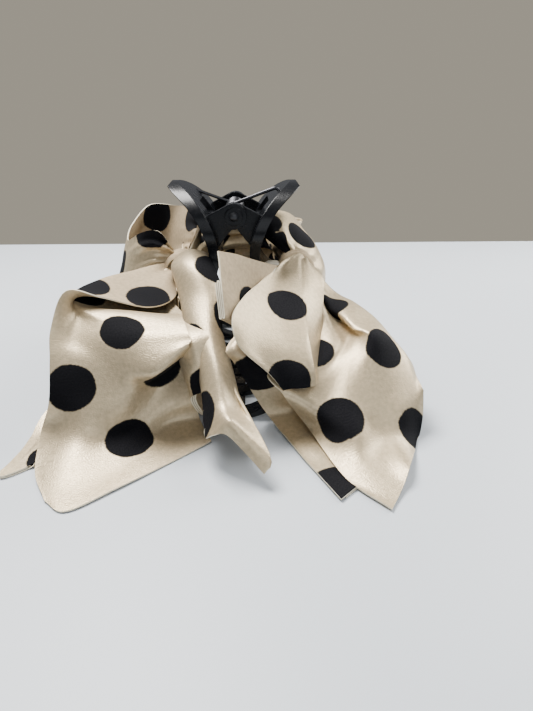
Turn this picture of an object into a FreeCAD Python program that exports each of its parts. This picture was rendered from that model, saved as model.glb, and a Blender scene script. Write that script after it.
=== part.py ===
import FreeCAD, Part
import math
import os

from FreeCAD import Vector

# Bow claw clip: two hinged jaws, a pin, a torsion spring, and half a satin bow glued to each jaw.
# +Z is up, +Y runs along the hinge away from the tails, +X is towards the right jaw.
# The clip stands on its teeth. Lengths are in millimetres.

DIMENSIONS = {
    "clip_x": 2.0,            # middle of the clip in the part's frame
    "clip_y": 11.3,
    "claw_length": 84.0,      # jaw plate, along the hinge
    "pin_height": 50.0,       # hinge axis above the teeth's tips
    "tab_length": 38.0,       # thumb tab, along the hinge
    "tab_crown": 8.4,         # top of the tabs above the hinge axis
    "waist_drop": 5.0,        # end of the tab's round rim below the hinge axis
    "plate_thick": 2.6,
    "tooth_pitch": 13.0,
    "tooth_gap": 7.6,
    "tooth_length": 13.0,
    "tooth_taper": 0.5,       # widening of each gap, per side, from its crown to the tips
    "ear_radius": 3.6,
    "ear_thick": 1.6,
    "ear_span_left": 14.0,    # middle of the clip to the inner face of an ear
    "ear_span_right": 12.2,
    "boss_radius": 2.5,
    "boss_height": 0.4,
    "window_length": 12.0,
    "window_height": 4.6,
    "window_drop": 1.4,       # foot of the window below the hinge axis
    "pin_radius": 1.1,
    "pin_head_radius": 1.35,
    "pin_dome": 0.7,
    "pin_clearance": 0.05,
    "wire_diameter": 1.0,
    "coil_radius": 2.4,
    "coil_pitch": 1.5,
    "coil_turns": 10.0,
    "leg_length": 13.2,
    "leg_bend": 1.1,
    "leg_slope": 20.0,        # degrees above level
    "knot_radius": 5.5,
    "knot_bore": 4.4,
    "knot_round": 0.5,        # fall of the barrel from its middle to its ends
    "knot_length": 9.0,
    "knot_height": 32.0,
    "knot_nearer": 2.0,       # knots' middle from the clip's middle, towards the tails
    "knot_offset_left": 17.0,
    "knot_offset_right": 19.0,
    "thread_ring": 3.7,
    "thread_radius": 0.35,
    "thread_nearer": 2.3,
    "glue_width": 6.0,
    "glue_height": 4.4,
    "glue_nearer": 5.0,
    "glue_left_inner": 8.8,   # ends of the glue pads, from the clip's middle
    "glue_left_outer": 12.3,
    "glue_right_inner": 8.8,
    "glue_right_outer": 14.3,
    "cloth_thick": 1.0,
}

doc = FreeCAD.newDocument("BowClawClip")


def make_sheet():
    """Put the driving dimensions in a spreadsheet, one aliased cell each."""
    sheet = doc.addObject("Spreadsheet::Sheet", "Dims")
    for row, (alias, value) in enumerate(DIMENSIONS.items(), start=1):
        sheet.set(f"A{row}", alias)
        sheet.set(f"B{row}", str(value))
        sheet.setAlias(f"B{row}", alias)
    doc.recompute()
    return sheet


sheet = make_sheet()


def dim(alias):
    """A driving dimension's value."""
    return float(getattr(sheet, alias))


PIN_Z = dim("pin_height")
UNDER = -5.0                  # a height well below the teeth's tips, where cuts run out


def place(obj, dx="0", dy="0", dz="0"):
    """Put an object at the clip's middle plus an offset, by expression."""
    obj.setExpression("Placement.Base.x", f"Dims.clip_x + {dx}")
    obj.setExpression("Placement.Base.y", f"Dims.clip_y + {dy}")
    obj.setExpression("Placement.Base.z", dz)


def make_body(label):
    body = doc.addObject("PartDesign::Body", label)
    body.Label = label
    return body


def add_sketch(body, name, role, offset=None):
    """A sketch on one of the body's own origin planes, moved off it if offset is given."""
    plane = next(f for f in body.Origin.OriginFeatures if f.Role == role)
    sketch = body.newObject("Sketcher::SketchObject", name)
    sketch.AttachmentSupport = (plane, [""])
    sketch.MapMode = "FlatFace"
    if offset:
        sketch.setExpression("AttachmentOffset.Base.z", offset)
    return sketch


def add_loop(sketch, points):
    """A closed outline of straight lines through the points."""
    for start, end in zip(points, points[1:] + points[:1]):
        sketch.addGeometry(Part.LineSegment(start, end), False)


# ---------------------------------------------------------------- jaws

# Middle line of a jaw seen along the hinge, outwards and up from the pin axis, with the wall
# thickness there as a share of plate_thick.
JAW_LINE = [
    (18.6, 8.2, 0.75),
    (15.2, 6.0, 1.0),
    (11.4, 2.6, 1.05),
    (8.4, -1.6, 1.1),
    (6.4, -6.4, 1.15),
    (5.8, -11.5, 1.1),
    (7.0, -17.0, 1.05),
    (11.2, -22.6, 1.0),
    (15.6, -28.4, 0.95),
    (16.8, -35.2, 0.9),
    (13.6, -42.2, 0.8),
    (7.0, -47.4, 0.65),
    (-2.4, -49.3, 0.35),
]


def offset_line(share):
    """Points beside the jaw's middle line, share of the wall away from it."""
    points = []
    last = len(JAW_LINE) - 1
    for index, (x, z, wall) in enumerate(JAW_LINE):
        before = JAW_LINE[max(index - 1, 0)]
        after = JAW_LINE[min(index + 1, last)]
        along = Vector(after[0] - before[0], after[1] - before[1], 0)
        along.normalize()
        away = share * wall * dim("plate_thick")
        points.append(Vector(x - along.y * away, PIN_Z + z + along.x * away, 0))
    return points


def add_jaw_profile(sketch, side):
    """The jaw's wall as two smooth curves joined at the tab's rim and at the teeth's tips."""
    curves = []
    for share in (0.5, -0.5):
        points = [Vector(side * p.x, p.y, 0) for p in offset_line(share)]
        curve = Part.BSplineCurve()
        curve.interpolate(points)
        curves.append((curve, points))
        sketch.addGeometry(curve, False)
    for end in (0, -1):
        sketch.addGeometry(Part.LineSegment(curves[0][1][end], curves[1][1][end]), False)


# The plate's side outline below the tab, as (past that end, below the waist): the neck is measured
# from the tab's end and the shoulder from the plate's end.
NECK = [(-1.2, 5.5), (0.5, 11.0), (4.0, 16.0)]
SHOULDER = [(-12.0, 21.0), (-4.0, 26.0), (0.0, 32.0)]
RIM_STEPS = 8


def silhouette():
    """The jaw's outline seen from the side, as (along the hinge, height) points, one half."""
    tab = dim("tab_length") / 2
    end = dim("claw_length") / 2
    waist = PIN_Z - dim("waist_drop")
    rise = PIN_Z + dim("tab_crown") - waist
    points = []
    for step in range(RIM_STEPS + 1):
        angle = math.pi / 2 * (1 - step / RIM_STEPS)
        points.append((tab * math.cos(angle), waist + rise * math.sin(angle)))
    points += [(tab + past, waist - below) for past, below in NECK]
    points += [(end + past, waist - below) for past, below in SHOULDER]
    return points


def cut_silhouette(body):
    """Cut the padded wall back to its side outline: everything outside the outline goes."""
    half = silhouette()
    outline = [Vector(-y, z, 0) for y, z in reversed(half[1:])]
    outline += [Vector(y, z, 0) for y, z in half]
    end = dim("claw_length") / 2
    below = [outline[-1], Vector(end, UNDER, 0), Vector(-end, UNDER, 0), outline[0]]
    edge = Part.BSplineCurve()
    edge.interpolate(outline)
    reach = dim("claw_length")
    frame = [Vector(-reach, 2 * UNDER, 0), Vector(reach, 2 * UNDER, 0)]
    frame += [Vector(reach, reach, 0), Vector(-reach, reach, 0)]
    sketch = add_sketch(body, body.Name + "_outline", "YZ_Plane")
    sketch.addGeometry(edge, False)
    for start, finish in zip(below, below[1:]):
        sketch.addGeometry(Part.LineSegment(start, finish), False)
    add_loop(sketch, frame)
    return add_pocket(body, sketch, body.Name + "_outline_cut")


def add_pocket(body, sketch, name):
    pocket = body.newObject("PartDesign::Pocket", name)
    pocket.Profile = sketch
    pocket.Type = "ThroughAll"
    pocket.Midplane = True
    sketch.Visibility = False
    return pocket


def cut_teeth(body, gaps, first):
    """Cut the rounded gaps between the teeth, one slot repeated along the hinge."""
    half = dim("tooth_gap") / 2
    top = dim("tooth_length")
    sketch = add_sketch(body, body.Name + "_gap", "YZ_Plane")
    left = Vector(first - half, top - half, 0)
    right = Vector(first + half, top - half, 0)
    crown = Vector(first, top, 0)
    foot = half + dim("tooth_taper")
    foot_left = Vector(first - foot, UNDER, 0)
    foot_right = Vector(first + foot, UNDER, 0)
    sketch.addGeometry(Part.Arc(left, crown, right), False)
    sketch.addGeometry(Part.LineSegment(right, foot_right), False)
    sketch.addGeometry(Part.LineSegment(foot_right, foot_left), False)
    sketch.addGeometry(Part.LineSegment(foot_left, left), False)
    pocket = add_pocket(body, sketch, body.Name + "_gap_cut")
    pattern = body.newObject("PartDesign::LinearPattern", body.Name + "_gaps")
    pattern.Originals = [pocket]
    pattern.Direction = (sketch, ["H_Axis"])
    pattern.Occurrences = gaps
    pattern.setExpression("Length", f"Dims.tooth_pitch * {gaps - 1}")
    body.Tip = pattern
    return pattern


def cut_window(body):
    """Cut the slot through the foot of the tab, where the spring shows."""
    half = dim("window_length") / 2
    low = PIN_Z - dim("window_drop")
    high = low + dim("window_height")
    sketch = add_sketch(body, body.Name + "_window", "YZ_Plane")
    sides = [(-half, low), (half, low), (half, high), (-half, high)]
    add_loop(sketch, [Vector(y, z, 0) for y, z in sides])
    return add_pocket(body, sketch, body.Name + "_window_cut")


# Where an ear's straight edges leave its round end, and where they end in the jaw's wall, outwards
# from the pin axis and above it.
EAR_LEAVES = {"top": 1.5, "low": 0.6}
EAR_ENDS = {"top": (9.0, -0.6), "low": (6.0, -10.2)}


def add_ears(body, side, span):
    """The two plates that carry the pin: a rounded end and an arm down to the jaw's wall."""
    radius = dim("ear_radius")
    centre = Vector(0, PIN_Z, 0)
    rise = {edge: math.sqrt(radius ** 2 - out ** 2) for edge, out in EAR_LEAVES.items()}
    top = Vector(side * EAR_LEAVES["top"], PIN_Z + rise["top"], 0)
    low = Vector(side * EAR_LEAVES["low"], PIN_Z - rise["low"], 0)
    back = Vector(-side * radius, PIN_Z, 0)
    wall_top, wall_low = (Vector(side * x, PIN_Z + z, 0) for x, z in EAR_ENDS.values())
    for sign, where in ((1, "far"), (-1, "near")):
        inner = f"-{sign} * Dims.{span}"
        sketch = add_sketch(body, f"{body.Name}_ear_{where}", "XZ_Plane", inner)
        sketch.addGeometry(Part.Arc(top, back, low), False)
        sketch.addGeometry(Part.LineSegment(low, wall_low), False)
        sketch.addGeometry(Part.LineSegment(wall_low, wall_top), False)
        sketch.addGeometry(Part.LineSegment(wall_top, top), False)
        pad = body.newObject("PartDesign::Pad", f"{body.Name}_ear_pad_{where}")
        pad.Profile = sketch
        pad.setExpression("Length", "Dims.ear_thick")
        pad.Reversed = sign > 0
        sketch.Visibility = False
    return centre


def add_bosses(body, centre):
    """A low ring round the pin on the outer face of each outer ear."""
    for sign, where in ((1, "far"), (-1, "near")):
        face = f"-{sign} * (Dims.ear_span_left + Dims.ear_thick)"
        sketch = add_sketch(body, f"{body.Name}_boss_{where}", "XZ_Plane", face)
        sketch.addGeometry(Part.Circle(centre, Vector(0, 0, 1), dim("boss_radius")), False)
        pad = body.newObject("PartDesign::Pad", f"{body.Name}_boss_pad_{where}")
        pad.Profile = sketch
        pad.setExpression("Length", "Dims.boss_height")
        pad.Reversed = sign > 0
        sketch.Visibility = False


def cut_pin_hole(body, centre, radius):
    sketch = add_sketch(body, body.Name + "_pin_hole", "XZ_Plane")
    sketch.addGeometry(Part.Circle(centre, Vector(0, 0, 1), radius), False)
    return add_pocket(body, sketch, body.Name + "_pin_hole_cut")


def make_jaw(label, side, span, gaps, hole_radius):
    """One moulded jaw: wall, outline, teeth, window, ears and pin hole."""
    body = make_body(label)
    profile = add_sketch(body, label + "_profile", "XZ_Plane")
    add_jaw_profile(profile, side)
    wall = body.newObject("PartDesign::Pad", label + "_wall")
    wall.Profile = profile
    wall.Midplane = True
    wall.setExpression("Length", "Dims.claw_length")
    profile.Visibility = False
    doc.recompute()
    cut_silhouette(body)
    cut_teeth(body, gaps, -(gaps - 1) * dim("tooth_pitch") / 2)
    cut_window(body)
    centre = add_ears(body, side, span)
    if span == "ear_span_left":
        add_bosses(body, centre)
    cut_pin_hole(body, centre, hole_radius)
    place(body)
    doc.recompute()
    return body


# ---------------------------------------------------------------- pin and spring

def make_pin():
    """The pin: a steel rod with a domed head at each end, turned round the hinge axis."""
    body = make_body("hinge_pin")
    sketch = add_sketch(body, "pin_half", "YZ_Plane")
    rod = dim("pin_radius")
    head = dim("pin_head_radius")
    face = dim("ear_span_left") + dim("ear_thick") + dim("boss_height")
    dome = dim("pin_dome")
    bulge = (head ** 2 + dome ** 2) / (2 * dome)
    lean = math.asin(head / bulge) / 2
    tip = Vector(-face - dome, 0, 0)
    middle = tip + Vector(bulge * (1 - math.cos(lean)), bulge * math.sin(lean), 0)
    left = [tip, middle, Vector(-face, head, 0)]
    right = [Vector(-p.x, p.y, 0) for p in reversed(left)]
    sketch.addGeometry(Part.Arc(*left), False)
    corners = [left[2], Vector(-face, rod, 0), Vector(face, rod, 0), right[0]]
    for start, end in zip(corners, corners[1:]):
        sketch.addGeometry(Part.LineSegment(start, end), False)
    sketch.addGeometry(Part.Arc(*right), False)
    sketch.addGeometry(Part.LineSegment(right[2], left[0]), False)
    turn = body.newObject("PartDesign::Revolution", "pin_turned")
    turn.Profile = sketch
    turn.ReferenceAxis = (sketch, ["H_Axis"])
    turn.Angle = 360
    sketch.Visibility = False
    place(body, dz="Dims.pin_height")
    return body


def leg_edges(start, along, towards):
    """A spring leg: a straight wire along a direction, then a short bend towards the tab."""
    bend = dim("leg_bend")
    half_way = math.sin(math.pi / 4)
    elbow = start + along * dim("leg_length")
    middle = elbow + along * (bend * half_way) + towards * (bend * (1 - half_way))
    end = elbow + (along + towards) * bend
    return [Part.makeLine(start, elbow), Part.Arc(elbow, middle, end).toShape()]


def make_spring():
    """The torsion spring: a coil round the pin with a leg to each tab, one wire throughout."""
    slope = math.radians(dim("leg_slope"))
    turns = dim("coil_turns") - 2 * slope / (2 * math.pi)
    height = dim("coil_pitch") * turns
    helix = Part.makeHelix(dim("coil_pitch"), height, dim("coil_radius"), 0, True)
    helix.translate(Vector(0, 0, -height / 2))
    helix.rotate(Vector(0, 0, 0), Vector(0, 0, 1), 270 - dim("leg_slope"))
    helix.rotate(Vector(0, 0, 0), Vector(1, 0, 0), -90)
    coil = helix.Edges[0]
    first, last = coil.FirstParameter, coil.LastParameter
    right_way = coil.tangentAt(first) * -1
    left_way = coil.tangentAt(last)
    right = leg_edges(coil.valueAt(first), right_way, Vector(math.sin(slope), 0, -math.cos(slope)))
    left = leg_edges(coil.valueAt(last), left_way, Vector(-math.sin(slope), 0, -math.cos(slope)))
    path = Part.Wire(right[::-1] + [coil] + left)
    start = path.OrderedEdges[0]
    at = start.FirstParameter if start.Orientation == "Forward" else start.LastParameter
    ring = Part.makeCircle(dim("wire_diameter") / 2, start.valueAt(at), start.tangentAt(at))
    spring = doc.addObject("Part::Feature", "torsion_spring")
    spring.Label = "torsion_spring"
    spring.Shape = path.makePipeShell([Part.Wire([ring])], True, True)
    place(spring, dz="Dims.pin_height")
    return spring


# ---------------------------------------------------------------- the bows

# Each ribbon runs from its knot outwards. A row is one line across the cloth, from one long edge
# to the other: (x, y, z) and (x, y, z), from the clip's middle and the table.
RIBBONS = {
    "left_tail_wide": [
        ((-20.2, -4.0, 32.2), (-17.6, -4.0, 32.2)),
        ((-32.0, -18.0, 32.0), (-20.5, -14.0, 25.0)),
        ((-43.0, -34.0, 30.0), (-21.5, -30.0, 21.0)),
        ((-45.0, -46.0, 22.0), (-21.0, -44.5, 19.0)),
        ((-45.0, -53.0, 15.0), (-14.0, -49.0, 16.0)),
        ((-45.0, -62.0, 6.0), (-10.0, -51.0, 9.0)),
        ((-37.0, -78.5, 0.6), (-6.0, -53.0, 0.6)),
    ],
    "left_tail_rolled": [
        ((-18.8, -4.0, 34.4), (-15.2, -4.0, 34.4)),
        ((-18.5, -13.0, 35.5), (-10.0, -13.0, 38.0)),
        ((-17.5, -20.5, 34.5), (-9.2, -21.0, 37.6)),
        ((-16.0, -26.0, 32.5), (-5.4, -26.0, 35.0)),
        ((-13.5, -33.0, 27.0), (-3.8, -33.0, 29.0)),
        ((-10.0, -44.0, 20.0), (-2.8, -44.0, 21.5)),
        ((-7.5, -56.0, 13.0), (0.5, -57.0, 14.0)),
        ((-6.0, -64.0, 8.5), (7.0, -71.0, 8.0)),
    ],
    "left_tail_tucked": [
        ((-15.2, -4.0, 33.2), (-15.2, -4.0, 31.0)),
        ((-17.5, -22.0, 28.0), (-19.6, -22.0, 22.0)),
        ((-19.2, -38.0, 20.0), (-19.9, -38.0, 14.0)),
        ((-19.0, -43.0, 19.0), (-19.2, -43.0, 12.0)),
        ((-15.0, -45.4, 18.0), (-14.0, -45.4, 10.0)),
        ((-9.0, -45.6, 14.0), (-8.5, -45.6, 5.0)),
    ],
    "left_tail_back": [
        ((-19.0, -4.0, 29.6), (-15.4, -4.0, 29.6)),
        ((-28.0, -8.0, 20.0), (-21.5, -14.0, 17.0)),
        ((-42.0, -24.0, 8.0), (-30.0, -30.0, 5.0)),
        ((-51.0, -44.0, 2.0), (-40.0, -48.0, 1.2)),
        ((-54.0, -63.0, 0.6), (-51.0, -65.0, 0.6)),
    ],
    "left_loop_upper": [
        ((-15.6, -0.5, 35.2), (-15.6, -0.5, 33.0)),
        ((-15.5, 5.0, 44.0), (-21.0, 6.0, 26.0)),
        ((-17.5, 14.0, 47.0), (-25.0, 15.0, 14.0)),
        ((-24.0, 25.0, 47.0), (-31.0, 28.0, 9.0)),
        ((-32.0, 27.0, 47.0), (-41.0, 34.0, 6.0)),
        ((-36.0, 18.0, 42.0), (-47.0, 25.0, 5.0)),
        ((-34.5, 7.0, 39.5), (-46.0, 12.0, 4.0)),
        ((-29.0, -1.0, 42.5), (-39.0, 0.0, 6.0)),
        ((-24.5, -3.0, 41.0), (-28.0, -4.0, 18.0)),
        ((-23.4, 1.0, 37.0), (-23.4, 1.0, 27.0)),
    ],
    "left_loop_lower": [
        ((-15.2, -0.5, 31.4), (-15.2, -0.5, 29.4)),
        ((-13.5, 10.0, 36.0), (-19.5, 10.0, 20.0)),
        ((-11.5, 24.0, 38.0), (-20.0, 24.0, 16.0)),
        ((-11.0, 38.0, 38.0), (-20.0, 40.0, 16.0)),
        ((-7.0, 47.0, 38.0), (-12.0, 48.0, 18.0)),
        ((-2.0, 49.0, 37.0), (-3.0, 50.0, 18.0)),
        ((-4.0, 54.0, 36.0), (-6.0, 55.0, 17.0)),
        ((-14.0, 55.0, 37.0), (-20.0, 56.0, 14.0)),
        ((-24.0, 48.0, 38.0), (-29.0, 49.0, 12.0)),
        ((-19.0, 38.0, 38.0), (-26.0, 39.0, 14.0)),
        ((-15.5, 25.0, 38.0), (-23.0, 25.0, 16.0)),
        ((-15.8, 12.0, 36.0), (-21.4, 12.0, 22.0)),
        ((-17.8, 4.5, 31.0), (-18.6, 4.5, 27.0)),
    ],
    "right_tail_front": [
        ((17.2, -4.0, 34.4), (20.8, -4.0, 34.4)),
        ((12.0, -16.0, 37.0), (25.0, -12.0, 34.0)),
        ((9.0, -30.0, 37.0), (24.5, -24.0, 32.0)),
        ((2.5, -45.0, 34.5), (22.5, -37.0, 30.0)),
        ((5.5, -52.0, 24.0), (21.5, -46.0, 22.0)),
        ((11.5, -53.0, 15.0), (20.0, -52.0, 15.0)),
    ],
    "right_tail_inner": [
        ((16.4, -4.0, 33.0), (16.4, -4.0, 31.0)),
        ((11.6, -12.0, 34.5), (13.2, -13.0, 29.5)),
        ((8.8, -23.0, 38.5), (9.6, -24.5, 32.5)),
        ((4.0, -28.0, 40.5), (3.5, -32.0, 28.5)),
        ((-2.0, -35.0, 44.2), (-1.5, -44.0, 28.0)),
    ],
    "right_tail_wide": [
        ((19.8, -4.0, 32.0), (22.2, -4.0, 32.0)),
        ((20.3, -12.0, 28.0), (29.0, -9.0, 29.5)),
        ((21.0, -26.0, 22.5), (41.0, -21.0, 22.5)),
        ((20.4, -42.5, 17.0), (46.0, -29.5, 18.0)),
        ((15.5, -46.0, 13.0), (48.5, -36.0, 14.0)),
        ((15.0, -52.0, 7.5), (50.0, -44.0, 9.0)),
        ((22.0, -65.0, 3.6), (47.0, -55.0, 5.0)),
        ((32.5, -79.0, 0.8), (42.0, -64.0, 2.6)),
    ],
    "right_tail_under": [
        ((17.6, -4.0, 29.4), (20.6, -4.0, 29.4)),
        ((13.2, -16.0, 33.0), (19.0, -15.0, 31.0)),
        ((11.0, -30.0, 29.0), (19.0, -28.0, 27.0)),
        ((3.0, -45.5, 22.0), (12.0, -45.0, 19.0)),
        ((3.5, -47.5, 11.0), (11.5, -48.0, 9.5)),
        ((9.0, -54.0, 3.0), (16.0, -55.0, 2.0)),
        ((20.3, -70.0, 0.6), (28.0, -72.0, 0.6)),
    ],
    "right_loop_upper": [
        ((17.4, -0.5, 34.8), (20.4, -0.5, 34.8)),
        ((13.5, 6.0, 40.0), (25.0, 6.0, 37.5)),
        ((11.0, 8.0, 45.0), (28.0, 6.5, 38.5)),
        ((12.0, 15.0, 46.5), (29.5, 14.0, 37.0)),
        ((16.0, 27.0, 43.0), (31.0, 26.0, 31.0)),
        ((20.5, 34.0, 34.0), (31.0, 33.5, 22.0)),
        ((22.5, 33.0, 21.0), (31.0, 32.0, 13.0)),
        ((22.5, 27.0, 14.0), (30.0, 26.0, 9.0)),
        ((24.0, 15.0, 17.0), (28.5, 14.0, 12.0)),
        ((23.0, 5.5, 25.0), (26.5, 5.5, 24.0)),
    ],
    "right_loop_lower": [
        ((17.2, -0.5, 31.4), (17.2, -0.5, 29.4)),
        ((13.5, 10.0, 36.0), (19.2, 10.0, 20.0)),
        ((11.5, 24.0, 38.0), (19.8, 24.0, 16.0)),
        ((11.0, 38.0, 38.0), (20.0, 40.0, 16.0)),
        ((7.0, 46.0, 38.0), (12.0, 47.0, 18.0)),
        ((2.0, 48.0, 37.0), (3.0, 49.0, 18.0)),
        ((4.0, 53.0, 36.0), (6.0, 54.0, 17.0)),
        ((14.0, 54.0, 37.0), (20.0, 55.0, 14.0)),
        ((23.0, 47.0, 38.0), (28.0, 48.0, 12.0)),
        ((17.8, 38.0, 37.0), (24.5, 40.0, 14.0)),
        ((15.0, 25.0, 37.0), (21.6, 25.0, 18.0)),
        ((15.6, 12.0, 36.0), (20.8, 12.0, 22.0)),
        ((17.6, 5.0, 31.0), (18.4, 5.0, 27.0)),
    ],
}

# The rolled tail is a flattened tube: its thickness at each row.
ROLL_THICK = [1.6, 4.0, 4.2, 5.0, 5.0, 4.5, 4.0, 1.2]


def ribbon_solid(rows, thick):
    """A closed solid through thin rectangles, one at each row, ruled from row to row."""
    rows = [(Vector(*start), Vector(*end)) for start, end in rows]
    middles = [(start + end) * 0.5 for start, end in rows]
    outlines = []
    for index, (start, end) in enumerate(rows):
        before = middles[max(index - 1, 0)]
        after = middles[min(index + 1, len(rows) - 1)]
        normal = (end - start).cross(after - before)
        normal.normalize()
        half = normal * (thick[index] / 2)
        outlines.append([start + half, end + half, end - half, start - half])
    caps = (outlines[0], outlines[-1])
    faces = [Part.Face(Part.makePolygon(corners + corners[:1])) for corners in caps]
    for here, there in zip(outlines, outlines[1:]):
        for corner in range(4):
            other = (corner + 1) % 4
            edges = [Part.makeLine(line[corner], line[other]) for line in (here, there)]
            faces.append(Part.makeRuledSurface(*edges))
    shell = Part.makeShell(faces)
    shell.sewShape()
    solid = Part.makeSolid(shell)
    if solid.Volume < 0:
        solid.reverse()
    return solid


def make_ribbon(label, rows):
    thick = ROLL_THICK if label == "left_tail_rolled" else [dim("cloth_thick")] * len(rows)
    ribbon = doc.addObject("Part::Feature", label)
    ribbon.Label = label
    ribbon.Shape = ribbon_solid(rows, thick)
    place(ribbon)
    return ribbon


def make_knot_wrap(label, offset):
    """The strip wound round the gathers: a short barrel along the hinge with a bore."""
    body = make_body(label)
    sketch = add_sketch(body, label + "_half", "YZ_Plane")
    half = dim("knot_length") / 2
    outer = dim("knot_radius")
    bore = dim("knot_bore")
    edge = outer - dim("knot_round")
    corners = [Vector(half, edge, 0), Vector(half, bore, 0)]
    corners += [Vector(-half, bore, 0), Vector(-half, edge, 0)]
    sketch.addGeometry(Part.Arc(corners[-1], Vector(0, outer, 0), corners[0]), False)
    for start, end in zip(corners, corners[1:]):
        sketch.addGeometry(Part.LineSegment(start, end), False)
    turn = body.newObject("PartDesign::Revolution", label + "_turned")
    turn.Profile = sketch
    turn.ReferenceAxis = (sketch, ["H_Axis"])
    turn.Angle = 360
    sketch.Visibility = False
    place(body, offset, "-Dims.knot_nearer", "Dims.knot_height")
    return body


def make_gather_thread(label, offset):
    """The binding thread, inside the wrap's bore."""
    ring = doc.addObject("Part::Torus", label)
    ring.Label = label
    ring.setExpression("Radius1", "Dims.thread_ring")
    ring.setExpression("Radius2", "Dims.thread_radius")
    ring.Placement.Rotation = FreeCAD.Rotation(Vector(1, 0, 0), 90)
    place(ring, offset, "-Dims.thread_nearer", "Dims.knot_height")
    return ring


def make_glue_pad(side):
    """A hot-melt pad from the jaw's outer face to the wrap."""
    label = side + "_glue_pad"
    pad = doc.addObject("Part::Box", label)
    pad.Label = label
    pad.setExpression("Length", f"Dims.glue_{side}_outer - Dims.glue_{side}_inner")
    pad.setExpression("Width", "Dims.glue_width")
    pad.setExpression("Height", "Dims.glue_height")
    start = "-Dims.glue_left_outer" if side == "left" else "Dims.glue_right_inner"
    place(pad, start, "-Dims.glue_nearer", "Dims.knot_height - Dims.glue_height / 2")
    return pad


def make_bow_half(side, offset):
    pieces = [make_ribbon(label, rows) for label, rows in RIBBONS.items() if label.startswith(side)]
    pieces.append(make_knot_wrap(side + "_knot_wrap", offset))
    pieces.append(make_gather_thread(side + "_gather_thread", offset))
    pieces.append(make_glue_pad(side))
    return pieces


def make_parts():
    running = dim("pin_radius") + dim("pin_clearance")
    parts = [make_jaw("left_jaw", -1, "ear_span_left", 7, dim("pin_radius"))]
    parts.append(make_jaw("right_jaw", 1, "ear_span_right", 6, running))
    parts.append(make_pin())
    parts.append(make_spring())
    parts += make_bow_half("left", "-Dims.knot_offset_left")
    parts += make_bow_half("right", "Dims.knot_offset_right")
    doc.recompute()
    return parts


def check(parts):
    """Stop if any object failed or any shape is empty or invalid."""
    for obj in doc.Objects:
        if "Invalid" in obj.State or "Error" in obj.State:
            raise RuntimeError(f"{obj.Name} did not compute: {obj.State}")
    for part in parts:
        if part.Shape.isNull() or not part.Shape.isValid():
            raise RuntimeError(f"{part.Label} has no valid shape")


def export(parts):
    os.makedirs("parts", exist_ok=True)
    for part in parts:
        part.Shape.exportStep(f"parts/{part.Label}.step")
        box = part.Shape.BoundBox
        size = f"{box.XLength:.1f} x {box.YLength:.1f} x {box.ZLength:.1f}"
        print(f"{part.Label}: {size} mm, {part.Shape.Volume:.1f} mm3, lowest {box.ZMin:.2f}")


parts = make_parts()
check(parts)
export(parts)
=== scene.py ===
import math

import bpy
import numpy as np
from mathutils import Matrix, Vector


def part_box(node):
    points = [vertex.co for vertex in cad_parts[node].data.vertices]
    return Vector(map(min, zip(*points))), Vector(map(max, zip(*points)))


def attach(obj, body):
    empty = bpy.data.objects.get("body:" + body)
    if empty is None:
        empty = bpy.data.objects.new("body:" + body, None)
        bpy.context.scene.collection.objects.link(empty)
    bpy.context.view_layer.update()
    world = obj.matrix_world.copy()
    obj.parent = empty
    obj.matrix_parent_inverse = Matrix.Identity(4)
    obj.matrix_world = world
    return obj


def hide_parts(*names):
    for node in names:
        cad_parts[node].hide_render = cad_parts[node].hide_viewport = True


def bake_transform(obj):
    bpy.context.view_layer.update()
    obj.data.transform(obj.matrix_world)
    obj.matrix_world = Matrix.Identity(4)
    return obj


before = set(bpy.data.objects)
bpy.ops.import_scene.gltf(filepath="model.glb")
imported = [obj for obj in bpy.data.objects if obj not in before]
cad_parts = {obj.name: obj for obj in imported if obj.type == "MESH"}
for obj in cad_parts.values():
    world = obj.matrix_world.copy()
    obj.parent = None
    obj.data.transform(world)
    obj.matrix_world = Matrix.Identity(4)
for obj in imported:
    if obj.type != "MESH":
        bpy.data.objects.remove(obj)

# The look of the bow claw clip: two black jaws, half a dotted satin bow on each.
# Nets and sizes are in millimetres from the clip's middle on the table: X to the right jaw,
# Y along the hinge away from the tails, Z up. Everything built is in metres in the row frame.

MM = 0.001
PIN_LOW, PIN_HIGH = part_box("hinge_pin")
PIN = (PIN_LOW + PIN_HIGH) / 2
CLIP = np.array([PIN.x, PIN.y, 0.0])
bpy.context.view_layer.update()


def at(x, y, z):
    """A clip position in millimetres, in the row frame in metres."""
    return Vector(CLIP + np.array([x, y, z]) * MM)


# ---------------------------------------------------------------- materials

def new_material(name):
    """A material and its Principled shader."""
    material = bpy.data.materials.new(name)
    material.use_nodes = True
    shader = material.node_tree.nodes["Principled BSDF"]
    return material, shader


def add_node(material, kind, **settings):
    node = material.node_tree.nodes.new(kind)
    for key, value in settings.items():
        setattr(node, key, value)
    return node


def link(material, source, target):
    material.node_tree.links.new(source, target)


def math_node(material, operation, first, second=None):
    """A Math node whose inputs are sockets or plain numbers."""
    node = add_node(material, "ShaderNodeMath", operation=operation)
    for index, value in enumerate((first, second)):
        if value is None:
            continue
        if isinstance(value, (int, float)):
            node.inputs[index].default_value = value
        else:
            link(material, value, node.inputs[index])
    return node.outputs[0]


def remap(material, value, low, high, out_low, out_high):
    node = add_node(material, "ShaderNodeMapRange")
    link(material, value, node.inputs["Value"])
    node.inputs["From Min"].default_value = low
    node.inputs["From Max"].default_value = high
    node.inputs["To Min"].default_value = out_low
    node.inputs["To Max"].default_value = out_high
    return node.outputs["Result"]


def mix_colour(material, factor, first, second):
    node = add_node(material, "ShaderNodeMix", data_type="RGBA")
    link(material, factor, node.inputs["Factor"])
    for socket, value in ((node.inputs[6], first), (node.inputs[7], second)):
        if isinstance(value, tuple):
            socket.default_value = value
        else:
            link(material, value, socket)
    return node.outputs[2]


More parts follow.
